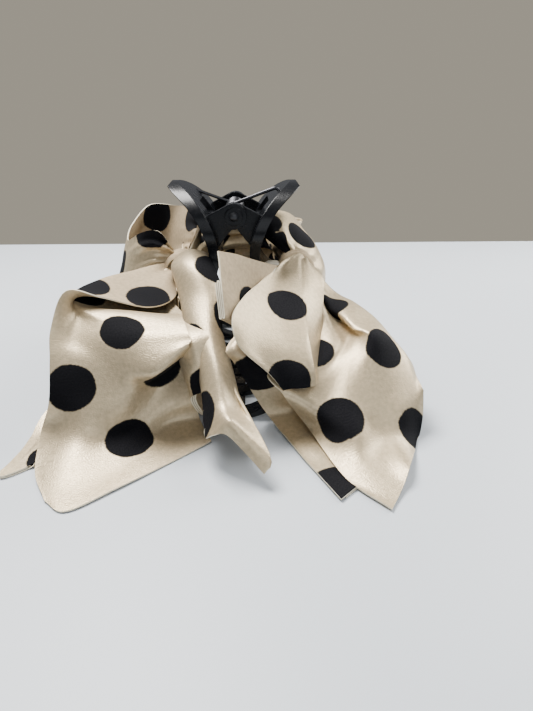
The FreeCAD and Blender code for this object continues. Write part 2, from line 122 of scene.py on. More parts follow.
def noise(material, coordinate, scale, detail=2.0):
    node = add_node(material, "ShaderNodeTexNoise")
    node.inputs["Scale"].default_value = scale
    node.inputs["Detail"].default_value = detail
    link(material, coordinate, node.inputs["Vector"])
    return node.outputs["Fac"]


def moulded(name, colour, rough, round_radius=0.35 * MM):
    """Moulded or turned hard material: faint mottling and softened edges."""
    material, shader = new_material(name)
    position = add_node(material, "ShaderNodeNewGeometry").outputs["Position"]
    mottle = noise(material, position, 900.0)
    dark = tuple(c * 0.8 for c in colour) + (1.0,)
    link(material, mix_colour(material, mottle, dark, colour + (1.0,)), shader.inputs["Base Color"])
    worn = remap(material, mottle, 0.3, 0.7, rough - 0.02, rough + 0.03)
    link(material, worn, shader.inputs["Roughness"])
    soften = add_node(material, "ShaderNodeBevel", samples=8)
    soften.inputs["Radius"].default_value = round_radius
    link(material, soften.outputs["Normal"], shader.inputs["Normal"])
    return material, shader


def dot_mask(material):
    """1 inside a printed dot, from the 'dots' layer's distance to one in dot radii."""
    layer = add_node(material, "ShaderNodeUVMap", uv_map="dots")
    cloth = add_node(material, "ShaderNodeUVMap", uv_map="cloth").outputs["UV"]
    split = add_node(material, "ShaderNodeSeparateXYZ")
    link(material, layer.outputs["UV"], split.inputs["Vector"])
    wobble = remap(material, noise(material, cloth, 260.0, 4.0), 0.0, 1.0, -0.06, 0.06)
    fuzz = remap(material, noise(material, cloth, 2600.0, 2.0), 0.0, 1.0, -0.05, 0.05)
    distance = math_node(material, "ADD", split.outputs["X"], wobble)
    distance = math_node(material, "ADD", distance, fuzz)
    return remap(material, distance, 0.97, 1.03, 1.0, 0.0)


FLECK_SCALE = 900.0
FLECK_SHADE = 0.80


def cloth_material(name, light, dark, rough, lustre, grain_depth):
    """Dotted cloth: a light ground with a fine glittering grain, and matt dark dots."""
    material, shader = new_material(name)
    cloth = add_node(material, "ShaderNodeUVMap", uv_map="cloth").outputs["UV"]
    grain = noise(material, cloth, 2600.0, 2.0)
    fleck = remap(material, noise(material, cloth, FLECK_SCALE, 3.0), 0.32, 0.68, 0.0, 1.0)
    mask = dot_mask(material)
    shade = tuple(c * FLECK_SHADE for c in light)
    ground = mix_colour(material, fleck, shade + (1.0,), light + (1.0,))
    link(material, mix_colour(material, mask, ground, dark + (1.0,)), shader.inputs["Base Color"])
    satin = remap(material, grain, 0.3, 0.7, rough - 0.10, rough + 0.12)
    dull = math_node(material, "MULTIPLY", mask, 0.5)
    link(material, math_node(material, "ADD", satin, dull), shader.inputs["Roughness"])
    shader.inputs["Metallic"].default_value = lustre
    shader.inputs["Specular IOR Level"].default_value = 0.22
    bump = add_node(material, "ShaderNodeBump")
    bump.inputs["Strength"].default_value = 0.7
    bump.inputs["Distance"].default_value = grain_depth
    link(material, grain, bump.inputs["Height"])
    link(material, bump.outputs["Normal"], shader.inputs["Normal"])
    return material


DOT_RADIUS = 6.0 * MM
DOT_SPACING = 19.5 * MM
CREAM = (0.60, 0.485, 0.315)
CREAM_BACK = (0.50, 0.39, 0.25)
DOT_BLACK = (0.006, 0.006, 0.008)

SATIN = cloth_material("satin_front", CREAM, DOT_BLACK, 0.38, 0.5, 0.12 * MM)
CREPE = cloth_material("satin_back", CREAM_BACK, DOT_BLACK, 0.70, 0.10, 0.08 * MM)
CUT_EDGE, edge_shader = new_material("satin_cut_edge")
edge_shader.inputs["Base Color"].default_value = (0.80, 0.72, 0.55, 1.0)
edge_shader.inputs["Roughness"].default_value = 0.6
PLASTIC, plastic_shader = moulded("black_plastic", (0.004, 0.0045, 0.006), 0.25)
plastic_shader.inputs["Specular IOR Level"].default_value = 0.22
PIN_METAL, pin_shader = moulded("black_pin", (0.035, 0.036, 0.04), 0.36, 0.15 * MM)
pin_shader.inputs["Metallic"].default_value = 0.6
WIRE, wire_shader = moulded("spring_wire", (0.06, 0.06, 0.065), 0.30, 0.05 * MM)
wire_shader.inputs["Metallic"].default_value = 0.9
THREAD, _ = moulded("thread", (0.62, 0.54, 0.38), 0.7, 0.05 * MM)
GLUE, _ = moulded("hot_melt", (0.66, 0.60, 0.48), 0.35, 0.8 * MM)


# ---------------------------------------------------------------- cloth

# Each ribbon from its knot outwards, one line per row across the cloth.
NETS = {
    "left_loop_upper": [
        [(-15.6, -1, 35.5), (-15.3, -1, 34), (-15.3, -1, 32.5), (-15.6, -1, 31)],
        [(-11.2, 4, 45), (-13.5, 4.5, 39.5), (-17, 5, 33), (-20, 5, 26)],
        [(-13.5, 15, 48), (-18, 15.5, 38), (-22.5, 16, 26), (-26, 17, 14)],
        [(-21.5, 26, 47.5), (-26, 27, 35), (-30, 28, 22), (-33.5, 29, 9)],
        [(-31, 28, 47.5), (-35.5, 29, 34), (-39, 31, 20), (-43, 33, 6)],
        [(-36, 18, 42.3), (-40, 20, 30), (-44, 22, 17), (-47.5, 24, 4.5)],
        [(-34.3, 6, 39.3), (-38.5, 8, 29), (-42.5, 10, 17), (-46.5, 12, 4.5)],
        [(-29.5, -1, 43), (-33, -2, 33), (-36, -1, 20), (-39.5, 0, 7)],
        [(-23.5, -2.5, 43.8), (-25.5, -4, 36), (-27.5, -4.5, 27), (-29.5, -4, 18)],
        [(-19.5, -1, 38), (-19.5, -1.5, 35.5), (-19.5, -1.5, 32), (-19.5, -1, 29)],
    ],
    "left_loop_lower": [
        [(-16, -0.5, 32), (-15.7, -0.5, 31), (-15.7, -0.5, 30), (-16, -0.5, 29)],
        [(-13.5, 9, 37.5), (-15, 10, 32), (-18, 10, 26), (-21, 10, 20)],
        [(-11.5, 24, 38.5), (-14.5, 24, 31), (-18.5, 24, 23), (-22, 24, 15.5)],
        [(-11.5, 39, 38.5), (-14.5, 40, 31), (-18.5, 40, 23), (-22, 40, 15.5)],
        [(-9, 47.5, 38.5), (-10, 48.5, 32), (-11.5, 48.5, 25), (-13, 48, 18)],
        [(-6.5, 50.5, 37), (-7, 51, 31), (-7.5, 51, 24), (-8, 50.5, 18)],
        [(-8.5, 54, 36.5), (-9, 55, 30), (-9.5, 55.5, 23), (-10, 55, 17)],
        [(-15, 55.5, 37.5), (-17, 57, 30), (-18.5, 57, 22), (-20, 56, 14)],
        [(-24, 48, 38.5), (-26, 49.5, 30), (-28.5, 49.5, 21), (-30, 49, 12)],
        [(-20, 38, 38.5), (-22.5, 38.5, 31), (-25.5, 39, 22), (-28, 39, 14)],
        [(-17, 25, 38.5), (-19.5, 25, 31), (-22.7, 25, 23.5), (-25.5, 25, 16)],
        [(-17.8, 8, 35), (-19, 8, 31), (-20.5, 8, 28), (-21.8, 8, 25)],
    ],
    "left_tail_wide": [
        [(-17, -5, 30), (-17.5, -5, 31), (-18.5, -5, 33), (-20, -4, 34.5), (-19, -5, 31)],
        [(-16.5, -16, 26.5), (-21.5, -15, 26.5), (-27, -13, 28.5), (-29, -10, 34), (-17, -22, 29)],
        [(-15.5, -27, 26), (-25, -26, 25.5), (-36, -25, 28), (-37.5, -19, 33.5), (-23.5, -29, 28)],
        [(-13.5, -36, 27.8), (-25.5, -34, 28.3), (-39, -33, 29.5), (-43, -29, 32), (-34.5, -32, 32)],
        [(-11.5, -43, 26.4), (-21.5, -41, 26.8), (-32, -39.5, 27.2),
         (-41, -36, 28.3), (-42.5, -36, 35)],
        [(-10.5, -45.5, 25), (-20, -45.5, 24.5), (-30, -44, 24), (-40, -42, 24), (-45.5, -42, 27)],
        [(-11, -46.5, 24), (-19, -51, 18.5), (-27.5, -48.5, 18), (-36.5, -46.5, 20), (-45, -47, 20.5)],
        [(-10.5, -41, 19.5), (-19, -42.5, 14), (-27, -51, 11), (-36.5, -51.5, 12), (-45, -51.5, 12)],
        [(-10, -45, 9.5), (-18, -46.5, 7), (-29, -53.5, 3.5), (-38, -57, 4.5), (-48, -52, 4)],
        [(-9.5, -45.5, 3), (-18.5, -49.5, 2), (-28.5, -62.5, 1), (-38, -69, 1.2), (-45.5, -65, 1)],
        [(-6, -53, 0.6), (-15.5, -62, 0.4), (-26, -71.8, 0.4), (-34.5, -78.5, 0.4), (-40, -75, 0.5)],
    ],
    "left_tail_rolled": [
        [(-15, -5, 33), (-14.5, -6, 34.5), (-16.5, -7, 36), (-18.5, -7, 35.5),
         (-19, -5.5, 33), (-17, -5, 31.5), (-15.8, -5.4, 33.4), (-17.1, -6, 33.8)],
        [(-11.5, -10, 37), (-9, -12, 39), (-11.5, -13, 40.5), (-15, -12.5, 39.5),
         (-18, -11, 36.5), (-17, -10, 33), (-12.7, -10.6, 37.1), (-14.6, -11.4, 36.9)],
        [(-9, -19, 35), (-6, -21, 37.5), (-10, -23.5, 38.5), (-14.5, -22, 38),
         (-18, -18, 36), (-15, -17, 32), (-10.6, -19.5, 35.3), (-13, -20.1, 35.4)],
        [(-7, -25, 31), (-3.5, -28, 32.5), (-7, -32, 32), (-11.5, -31, 31.5),
         (-15, -27, 30.5), (-13, -25, 28), (-8.3, -26.4, 30.7), (-10.5, -28.2, 30.2)],
        [(-6, -36, 26), (-3, -38, 24.5), (-5.5, -42, 26), (-9.5, -41, 25.5),
         (-12.5, -37, 24.5), (-11, -35, 22), (-7, -37.1, 25.4), (-8.8, -38.4, 24.3)],
        [(-4, -45, 20), (-0.5, -47, 18), (-3.5, -51, 20.5), (-7, -49.5, 20),
         (-9.5, -45.5, 19), (-9, -44, 17), (-5, -46, 19.6), (-6.6, -47.2, 18.9)],
        [(0.5, -54, 14.5), (1.5, -56, 12.5), (-2, -59, 14.5), (-5.5, -57, 14),
         (-7.5, -53, 12.5), (-7, -52, 12.5), (-1.5, -54.6, 14.2), (-4.6, -55.2, 13.6)],
        [(8, -69, 7), (3.5, -66.5, 10.5), (-1, -65, 13.5), (-4.5, -62, 10.5),
         (-7, -58, 8.5), (-6.5, -57, 10), (-2, -55.5, 9.5), (-3.5, -58.5, 11)],
        [(6.5, -71.5, 4), (2.5, -68.5, 7.5), (-1.5, -66, 10.5), (-4.5, -64, 9),
         (-6.5, -61, 6.5), (-6.5, -59.5, 8.5), (-2, -58, 8), (-3.5, -61, 9.5)],
    ],
    "left_tail_tucked": [
        [(-15.5, -5, 31.5), (-16, -5, 30.5), (-16.2, -5, 29.5), (-16, -5, 28.5), (-15.5, -5, 27.5)],
        [(-17, -22, 27), (-19.5, -22, 26), (-20.5, -22, 23), (-18.5, -22, 20), (-16, -22, 18)],
        [(-7, -41.5, 26), (-11.5, -42.5, 25.5), (-15.5, -40.5, 23.5),
         (-12.5, -37.5, 16.5), (-8, -37.5, 15.5)],
        [(-6, -46.5, 20.5), (-10, -47.5, 20.5), (-13.5, -44.5, 17.5),
         (-11.5, -40.5, 12.5), (-7, -40.5, 11)],
        [(-6, -48, 16.5), (-10, -49, 16.5), (-12, -46.5, 13), (-10, -43.5, 8.5), (-6.5, -43.5, 7)],
        [(-5.5, -49, 13), (-9, -50, 12.5), (-11, -48, 10), (-9.5, -46.5, 5.5), (-6, -46.5, 3)],
    ],
    "left_tail_back": [
        [(-16.5, -5.5, 28), (-15.5, -5, 28.5), (-15.5, -4, 29.5), (-17.5, -4, 29.5), (-19, -4, 30)],
        [(-21, -24, 18), (-20.8, -19, 17), (-21.5, -14, 17), (-25, -11, 18), (-28, -8, 20)],
        [(-21, -37, 6), (-25, -33, 5), (-30, -30, 5), (-37, -27, 6), (-42, -24, 8)],
        [(-26, -47, 1.2), (-33, -48, 1), (-40, -48, 1.2), (-46.5, -45, 1.6), (-51, -42, 3)],
        [(-34, -51, 0.8), (-39, -54, 0.6), (-44, -56, 0.6), (-49.5, -56, 0.8), (-52, -56.5, -1.5)],
        [(-40, -55, 0.6), (-44.5, -58.5, 0.5), (-48.5, -63.5, 0.5),
         (-52.5, -66.5, 0.5), (-53.5, -64.5, 1)],
    ],
    "right_loop_upper": [
        [(17.4, -1, 35.5), (18.4, -1, 36), (19.6, -1, 36),
         (20.8, -1, 35), (21.8, -1, 33.5), (22, -1, 31.5)],
        [(9.5, 5, 40.5), (13.5, 3, 41.5), (18.5, 3, 40), (24, 3, 35.5), (27, 3, 30), (28, 4, 25)],
        [(9, 11, 45), (13, 12, 46), (18.5, 12, 44), (25, 9, 38), (28.5, 9, 31), (30, 9, 24.5)],
        [(9.5, 19, 45.5), (14.5, 21, 46), (20.5, 21, 43.5),
         (26, 18, 37), (29.8, 17, 29.5), (31, 16, 23)],
        [(14, 28, 43), (18.5, 29.5, 41.5), (23.5, 29, 38),
         (28.5, 27, 31.5), (31.3, 25, 25.5), (32, 23, 21)],
        [(19, 34, 34), (22.5, 34, 31), (26.5, 34, 27.5),
         (29.8, 33, 22.5), (31.3, 31, 19), (32, 28, 17)],
        [(21.5, 33, 21), (24.5, 33, 18), (27, 32.5, 15),
         (29.3, 32, 13), (31, 29.5, 13), (31.5, 26.5, 13.5)],
        [(22, 26, 14), (24.5, 26, 12.5), (27, 26, 11),
         (28.8, 26, 10), (30.5, 24.5, 10.5), (31.3, 22.5, 11.5)],
        [(23.5, 15, 17.5), (25, 15, 16), (27, 14.5, 14), (28.5, 14, 13), (30, 14, 13.5), (31, 14, 15)],
        [(21.5, 4, 27), (22, 4, 26.5), (22.8, 4, 26), (23.5, 4, 25.5), (24.3, 4, 25.5), (25, 4, 26)],
    ],
    "right_loop_lower": [
        [(17.5, -0.5, 31.5), (17.2, -0.5, 30.8), (17.2, -0.5, 30), (17.5, -0.5, 29.3)],
        [(13.5, 9, 37.5), (15, 10, 32), (17.8, 10, 26), (20.5, 10, 20)],
        [(11.5, 24, 38.5), (14, 24, 31), (18, 24, 23), (21.5, 24, 15.5)],
        [(11.5, 38, 38.5), (14, 39, 31), (18, 40, 23), (21.5, 40, 15.5)],
        [(7, 45.5, 38.5), (8, 46.5, 32), (9.5, 47, 25), (12, 47, 18)],
        [(-2.5, 46.5, 38.5), (-2.5, 47, 32), (-2.5, 47, 25), (-1.5, 47, 18)],
        [(-7.3, 47.8, 37), (-7.6, 48, 31), (-7.6, 48, 24), (-7, 48, 18)],
        [(2, 53.5, 36.5), (2.5, 54.5, 30), (3.5, 54.5, 23), (4.5, 54, 17)],
        [(14, 54.5, 37.5), (16, 56, 30), (18, 56, 22), (20, 55.5, 14)],
        [(23.5, 47.5, 38.5), (25.5, 49, 30), (28, 49, 21), (29.5, 48.5, 12)],
        [(18.5, 38, 38), (20.5, 38.5, 31), (24, 39, 22), (27, 40, 14)],
        [(16.3, 25, 37.5), (18.5, 25, 31), (21.8, 25, 24), (24.5, 25, 17.5)],
        [(17.5, 9, 34), (18.5, 9, 31), (20, 9, 28.5), (21.3, 9, 26)],
    ],
    "right_tail_front": [
        [(21.8, -4.5, 34), (21, -6.2, 36.2), (20.6, -6.7, 36.8),
         (19.5, -7, 37.5), (17.8, -6.5, 37), (16.5, -5, 34.5)],
        [(23, -10, 35), (20.5, -11, 36.5), (19.5, -11.5, 36.5),
         (16.5, -12, 36.5), (13, -14, 35.5), (10, -20, 35)],
        [(25.5, -17, 32.5), (20.5, -19, 33), (19, -19.5, 33),
         (15, -21.5, 33), (10.5, -24.5, 33), (6.5, -29, 34.5)],
        [(25, -23, 28), (19.5, -28, 29), (18, -28.5, 29.5),
         (12.5, -30.5, 30), (7.5, -34.5, 31), (3, -38, 34)],
        [(24, -29, 22.5), (19, -36, 25.5), (18.5, -37, 26),
         (12, -39.5, 26), (5.5, -43.5, 27.5), (0, -47, 31.5)],
        [(22.5, -37.5, 18), (19.5, -43.5, 21.5), (18.5, -44.5, 22),
         (13, -46, 22.5), (7, -48.5, 23), (1.5, -51, 25.5)],
        [(22, -43, 15), (20, -48, 17.5), (19.5, -49, 18),
         (15.5, -50, 18), (11.5, -50.5, 18), (8.5, -51.5, 18.5)],
        [(21.5, -46, 13.5), (20.5, -50, 14.5), (20, -50.5, 14.5),
         (17, -52, 14.5), (14, -52, 14.5), (12, -52, 14)],
    ],
    "right_tail_inner": [
        [(15.5, -5, 33), (15.5, -5, 31.5), (15.5, -5, 30.5), (15.5, -5, 29.5)],
        [(10.5, -18, 37), (10.5, -20, 34), (10, -21, 31), (9.5, -22, 28.5)],
        [(4.5, -26, 40.5), (4.5, -29, 35), (5, -31, 31), (5.5, -33, 27.5)],
        [(0.5, -31, 43), (0.8, -36, 36.5), (2, -39, 31), (3.5, -41, 27)],
        [(-3.5, -36, 45), (-3, -40, 41), (-2.5, -44, 37), (-2, -47, 31.5)],
    ],
    "right_tail_wide": [
        [(23, -2, 30), (24, -3, 32), (23.5, -4, 33),
         (22.5, -4.5, 32), (21.5, -5, 31.5), (20, -5, 30.5)],
        [(30, -7, 26), (30, -11, 26.5), (26.5, -18, 25.5),
         (26.5, -15.5, 23.5), (24, -15, 27.5), (20.5, -14, 27)],
        [(36, -14, 22), (34.5, -19, 26), (29.5, -27, 25),
         (29.5, -22.5, 22), (26, -28, 22), (19.5, -28, 21)],
        [(41, -21, 18.5), (38.5, -25, 24), (32.5, -34, 23.5),
         (32.5, -29.5, 21), (26, -39, 18.5), (18, -42.5, 16)],
        [(45, -28, 14), (42, -31, 21), (36.5, -39, 23),
         (32, -39, 20), (21, -46.5, 14.5), (8.5, -49, 17.5)],
        [(48, -34.5, 14), (45, -37, 17.5), (37.5, -44, 17.5),
         (29, -48, 14.5), (22, -51.5, 10.5), (12, -52, 13)],
        [(48.5, -41, 12), (46, -43, 13.5), (39.5, -49, 12),
         (31.5, -54, 9.5), (27, -59.5, 6.5), (17.5, -49.5, 4)],
        [(48.5, -45, 11), (46, -49, 9), (42, -54, 6.5),
         (36.5, -59, 4), (30.5, -65.5, 3), (25, -69.5, 1)],
        [(49, -46, 10), (48, -50, 4.5), (46, -54, 0),
         (40, -68.5, 3.5), (37, -74, 1.5), (33, -80.5, 0.5)],
    ],
    "right_tail_under": [
        [(21.5, -5, 30), (20.8, -5, 29.3), (20, -5, 29),
         (19, -5, 28.8), (18.2, -5, 29), (17.5, -5, 30)],
        [(20.3, -15, 24.5), (19.5, -15, 27), (18, -15.5, 28.5),
         (16, -16, 29), (14, -17, 30), (12, -17, 31)],
        [(19.8, -29, 19), (18.8, -29, 22.5), (17, -29.5, 25),
         (14, -30, 26), (11, -31, 27), (8, -31, 28)],
        [(19.5, -44.3, 11.5), (15.5, -45.3, 14.5), (9.5, -45.5, 20),
         (5, -45.5, 21.5), (1, -45, 23.5), (-1.5, -44.5, 23)],
        [(25, -48.5, 4.5), (19, -48.5, 7), (13.5, -48, 13.5),
         (9, -48, 15.5), (4.5, -47.5, 18), (0.5, -46.5, 18.5)],
        [(29, -40, 1), (23.5, -41.5, 2), (18.5, -42.5, 2.5),
         (15.5, -43.5, 3), (12, -43.5, 3), (8.5, -43.5, 2.5)],
        [(35.5, -50, 0.5), (30.5, -54, 1), (26, -57.5, 1),
         (23.5, -59.5, 1), (20.5, -61.5, 1), (17.5, -64, 0.5)],
        [(36, -63.5, 0.5), (32, -67, 0.5), (29, -71, 0.5),
         (27, -73, 0.5), (25, -75, 0.5), (23, -77, 0.5)],
    ],
}


def catmull(points, where):
    """Catmull-Rom through points (first axis) at parameters where, 0 to len - 1."""
    points = np.asarray(points, float)
    last = len(points) - 1
    padded = np.concatenate([2 * points[:1] - points[1:2], points, 2 * points[-1:] - points[-2:-1]])
    start = np.minimum(where.astype(int), last - 1)
    part = (where - start).reshape((-1,) + (1,) * (points.ndim - 1))
    p0, p1, p2, p3 = (padded[start + k] for k in range(4))
    square = part * part
    cube = square * part
    return 0.5 * (2 * p1 + (p2 - p0) * part + (2 * p0 - 5 * p1 + 4 * p2 - p3) * square
                  + (3 * p1 - p0 - 3 * p2 + p3) * cube)


def even_steps(points, count):
    """count parameters along the first axis, an even distance apart on average."""
    gaps = np.linalg.norm(np.diff(points, axis=0), axis=-1)
    while gaps.ndim > 1:
        gaps = gaps.mean(axis=-1)
    reach = np.concatenate([[0], np.cumsum(gaps)])
    return np.interp(np.linspace(0, reach[-1], count), reach, np.arange(len(points)))


def smooth_grid(net, along, across):
    """A net drawn out to an even grid, in metres in the row frame, and its rows and columns."""
    grid = np.asarray(net, float)
    rows = even_steps(grid, along)
    grid = catmull(grid, rows).swapaxes(0, 1)
    columns = even_steps(grid, across)
    grid = catmull(grid, columns)
    return CLIP + grid.swapaxes(0, 1) * MM, rows, columns


def grid_normals(grid):
    """Unit normals of a grid: across the ribbon crossed with along it."""
    down = np.gradient(grid, axis=0)
    over = np.gradient(grid, axis=1)
    normal = np.cross(over, down)
    return normal / np.maximum(np.linalg.norm(normal, axis=-1, keepdims=True), 1e-12)


def distance_along(grid):
    """Mean distance of each row from the first one."""
    gaps = np.linalg.norm(np.diff(grid, axis=0), axis=-1).mean(axis=1)
    return np.concatenate([[0], np.cumsum(gaps)])


def pleat(grid, count, depth, reach, both_ends, seed):
    """Press pleats in where the ribbon is gathered, fading out with distance from the knot."""
    random = np.random.default_rng(seed)
    s = distance_along(grid)
    if both_ends:
        s = np.minimum(s, s[-1] - s)
    fade = np.clip(s / (4 * MM), 0.25, 1) * np.exp(-(s / reach) ** 2)
    u = np.linspace(0, 1, grid.shape[1])
    wave = np.sin(2 * math.pi * count * u + random.uniform(0, 6))
    wave += 0.5 * np.sin(2 * math.pi * (count * 1.7 + 0.3) * u + random.uniform(0, 6))
    return grid + grid_normals(grid) * (depth * fade[:, None] * wave[None, :])[..., None]


def crease(grid, count, depth, seed):
    """Press lengthwise folds into a ribbon all along it, easing in at both knots."""
    if not count:
        return grid
    random = np.random.default_rng(seed + 200)
    s = distance_along(grid)
    ease = np.clip(np.minimum(s, s[-1] - s) / (14 * MM), 0.1, 1)[:, None]
    u = np.linspace(0, 1, grid.shape[1])[None, :]
    drift = 0.25 * np.sin(s / (19 * MM) + random.uniform(0, 6))[:, None]
    wave = np.sin(2 * math.pi * (count * u + drift))
    return grid + grid_normals(grid) * (depth * ease * wave)[..., None]


def ripple(grid, depth, seed):
    """Broad soft unevenness, so no panel is perfectly smooth."""
    random = np.random.default_rng(seed + 100)
    s = distance_along(grid)[:, None]
    u = np.linspace(0, CLOTH_WIDTH, grid.shape[1])[None, :]
    height = np.zeros(grid.shape[:2])
    for length in (34 * MM, 22 * MM, 13 * MM):
        turn = random.uniform(0, math.pi)
        phase = (s * math.cos(turn) + u * math.sin(turn)) * 2 * math.pi / length
        height += np.sin(phase + random.uniform(0, 6)) * length / (34 * MM)
    return grid + grid_normals(grid) * (depth * height)[..., None]


def tuck(grid, columns, edge, layers, to_satin=False):
    """Fold the strip's spare width away from one edge of it, back and forth, under its crepe
    back, or over its satin face where to_satin is set because the back is the side in sight.

    Returns the wider grid, its columns and how deep each column lies from the side in sight.
    """
    if not layers:
        return grid, columns, np.zeros(len(columns))
    way = 1 if edge == "first" else -1
    face, normal = grid[:, ::way], grid_normals(grid)[:, ::way]
    if to_satin:
        normal = -normal
    reach = np.linalg.norm(np.diff(face, axis=1), axis=-1).cumsum(axis=1)
    reach = np.concatenate([np.zeros((len(face), 1)), reach], axis=1)
    width = reach[:, -1]
    fold = np.maximum(np.minimum((CLOTH_WIDTH - width) / layers, FOLD_SHARE * width), LEAST_FOLD)
    radius = LAYER_GAP / 2
    sides, depths = [], []
    for layer in range(layers):
        outer = layer % 2 == 0
        for turn in np.radians([45, 90, 135]):
            beyond = radius * math.sin(turn)
            sides.append(np.full_like(fold, -beyond) if outer else fold + beyond)
            depths.append(layer * LAYER_GAP + radius * (1 - math.cos(turn)))
        for part in np.linspace(0, 1, FOLD_STEPS):
            sides.append(fold * (part if outer else 1 - part))
            depths.append((layer + 1) * LAYER_GAP)
    outward = face[:, 0] - face[:, 1]
    outward /= np.maximum(np.linalg.norm(outward, axis=-1, keepdims=True), 1e-12)
    index = np.arange(face.shape[1])
    added = np.zeros((len(face), len(sides), 3))
    for i in range(len(face)):
        side = np.array([s[i] for s in sides])
        place = np.interp(side, reach[i], index)
        for axis in range(3):
            added[i, :, axis] = np.interp(place, index, face[i, :, axis])
            added[i, :, axis] -= np.interp(place, index, normal[i, :, axis]) * depths
        added[i] += np.maximum(-side, 0)[:, None] * outward[i]
    steps = np.arange(1, len(sides) + 1) * (columns[1] - columns[0])
    wide = np.concatenate([added[:, ::-1], face], axis=1)[:, ::way]
    depth = np.concatenate([depths[::-1], np.zeros(face.shape[1])])[::way]
    if way == 1:
        columns = np.concatenate([columns[0] - steps[::-1], columns])
    else:
        columns = np.concatenate([columns, columns[-1] + steps])
    return wide, columns, depth


def flatten(grid, both_ends, rounds=1500):
    """Lay a grid out flat with its edge lengths kept, and let it out where it is gathered."""
    over = np.linalg.norm(np.diff(grid, axis=1), axis=-1)
    s = distance_along(grid)
    if both_ends:
        s = np.minimum(s, s[-1] - s)
    least = CLOTH_WIDTH / over.shape[1] * np.exp(-(s / GATHER_REACH) ** 2)
    wide = np.maximum(over, least[:, None])
    down = np.linalg.norm(np.diff(grid, axis=0), axis=-1)
    a = grid[:-1, 1:] - grid[:-1, :-1]
    b = grid[1:, :-1] - grid[:-1, :-1]
    lean = (a * b).sum(-1) / np.maximum(np.linalg.norm(a, axis=-1) * np.linalg.norm(b, axis=-1), 1e-12)
    lean = lean * np.clip(over[:-1] / wide[:-1], 0, 1)
    side, length = wide[:-1], down[:, :-1]
    slant = np.sqrt(np.maximum(side ** 2 + length ** 2 + 2 * side * length * lean, 1e-12))
    counter = np.sqrt(np.maximum(side ** 2 + length ** 2 - 2 * side * length * lean, 1e-12))
    flat = np.zeros(grid.shape[:2] + (2,))
    flat[:, 1:, 0] = np.cumsum(wide, axis=1)
    flat[..., 0] -= flat[:, -1:, 0] / 2
    flat[1:, :, 1] = np.cumsum(down, axis=0)
    ties = [
        (np.s_[:, :-1], np.s_[:, 1:], wide),
        (np.s_[:-1, :], np.s_[1:, :], down),
        (np.s_[:-1, :-1], np.s_[1:, 1:], slant),
        (np.s_[:-1, 1:], np.s_[1:, :-1], counter),
    ]
    for _ in range(rounds):
        push = np.zeros_like(flat)
        for first, second, rest in ties:
            gap = flat[second] - flat[first]
            length = np.maximum(np.linalg.norm(gap, axis=-1), 1e-12)
            fix = gap * ((length - rest) / length * 0.12)[..., None]
            push[first] += fix
            push[second] -= fix
        flat += push
    return flat


def add_mesh(name, points, faces):
    mesh = bpy.data.meshes.new(name)
    mesh.from_pydata([tuple(p) for p in points], [], faces)
    obj = bpy.data.objects.new(name, mesh)
    bpy.context.scene.collection.objects.link(obj)
    return obj


def cloth_mesh(name, grid, flat, dots, thick):
    """A cloth of real thickness from a grid: satin face, crepe back and cut edges."""
    rows, columns = grid.shape[:2]
    half = grid_normals(grid) * (thick / 2)
    points = np.concatenate([(grid + half).reshape(-1, 3), (grid - half).reshape(-1, 3)])
    back = rows * columns
    faces, kinds = [], []
    for i in range(rows - 1):
        for j in range(columns - 1):
            a, b = i * columns + j, i * columns + j + 1
            c, d = b + columns, a + columns
            faces += [(a, b, c, d), (back + d, back + c, back + b, back + a)]
            kinds += [0, 1]
    ring = [j for j in range(columns)] + [i * columns + columns - 1 for i in range(1, rows)]
    ring += [(rows - 1) * columns + j for j in range(columns - 2, -1, -1)]
    ring += [i * columns for i in range(rows - 2, 0, -1)]
    for a, b in zip(ring, ring[1:] + ring[:1]):
        faces.append((b, a, back + a, back + b))
        kinds.append(2)
    obj = add_mesh(name, points, faces)
    mesh = obj.data
    for material in (SATIN, CREPE, CUT_EDGE):
        mesh.materials.append(material)
    mesh.polygons.foreach_set("material_index", kinds)
    mesh.polygons.foreach_set("use_smooth", [True] * len(faces))
    corners = np.zeros(len(mesh.loops), int)
    mesh.loops.foreach_get("vertex_index", corners)
    corners %= back
    for layer, values in (("cloth", flat), ("dots", dots)):
        uv = mesh.uv_layers.new(name=layer)
        uv.data.foreach_set("uv", values.reshape(-1, 2)[corners].astype(np.float32).ravel())
    mesh.set_sharp_from_angle(angle=math.radians(50))
    mesh.update()
    return obj


def grid_place(values, rows, columns, row, column):
    """A grid's value at a fractional row and column of the net it was drawn from."""
    i = np.interp(row, rows, np.arange(len(rows)))
    j = np.interp(column, columns, np.arange(len(columns)))
    a, b = min(int(i), len(rows) - 2), min(int(j), len(columns) - 2)
    u, v = i - a, j - b
    near = values[a, b] * (1 - v) + values[a, b + 1] * v
    far = values[a + 1, b] * (1 - v) + values[a + 1, b + 1] * v
    return near * (1 - u) + far * u


def print_dots(flat, grid, centres, go_on):
    """How far each point of the flat cloth is from a dot, in dot radii.

    centres are pairs of places, on the flat cloth and in the row frame. The way over the cloth is
    never shorter than the straight one, so the longer of the two counts. Where go_on is set the
    print goes on from the given centres, each new dot as near the others as DOT_SPACING lets it.
    """
    spots, points = flat.reshape(-1, 2), grid.reshape(-1, 3)
    nearest = np.full(len(spots), 10 * DOT_SPACING)
    for centre, place in centres:
        over_cloth = np.linalg.norm(spots - centre, axis=1)
        straight = np.linalg.norm(points - place, axis=1)
        nearest = np.minimum(nearest, np.maximum(over_cloth, straight))
    while go_on and nearest.max() > DOT_SPACING:
        free = np.where(nearest > DOT_SPACING, nearest, np.inf)
        nearest = np.minimum(nearest, np.linalg.norm(spots - spots[free.argmin()], axis=1))
    distance = nearest.reshape(flat.shape[:2]) / DOT_RADIUS
    return np.stack([distance, np.zeros_like(distance)], axis=-1)


